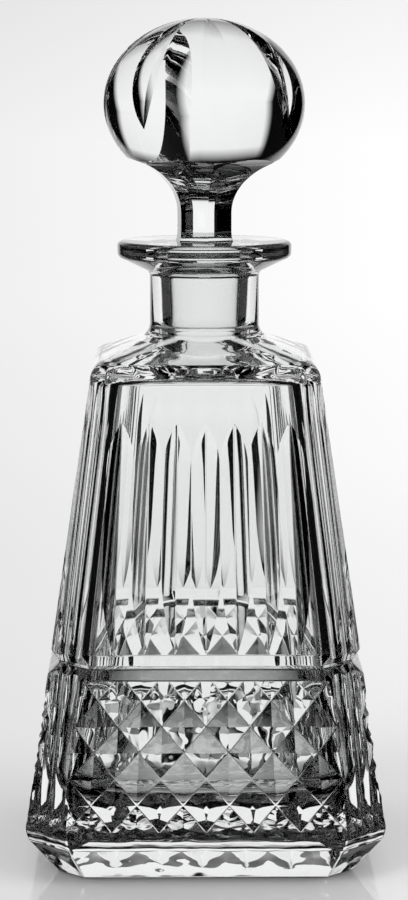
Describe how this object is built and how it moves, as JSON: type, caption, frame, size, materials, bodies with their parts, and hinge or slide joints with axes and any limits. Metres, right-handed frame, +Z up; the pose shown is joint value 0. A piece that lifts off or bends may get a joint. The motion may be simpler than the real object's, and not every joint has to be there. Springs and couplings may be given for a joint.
{
  "type": "decanter",
  "caption": "Square tapered cut-crystal spirit decanter with a round flanged lip and a lift-out ball stopper on a faceted stem.",
  "frame": {"origin": "centre of the foot's underside, where the decanter stands", "axes": "+Z up through the neck and the stopper, front face towards -Y, +X to the right seen from the front"},
  "size_m": [0.1112, 0.1112, 0.263],
  "materials": {
    "lead_crystal": "clear polished cut crystal"
  },
  "bodies": {
    "decanter": {"decanter_body": "lead_crystal"},
    "stopper": {"stopper": "lead_crystal"}
  },
  "joints": [
    {"name": "stopper_lift", "type": "slide", "parent": "decanter", "child": "stopper", "axis": [0, 0, 1], "range_m": [0, 0.06]}
  ]
}
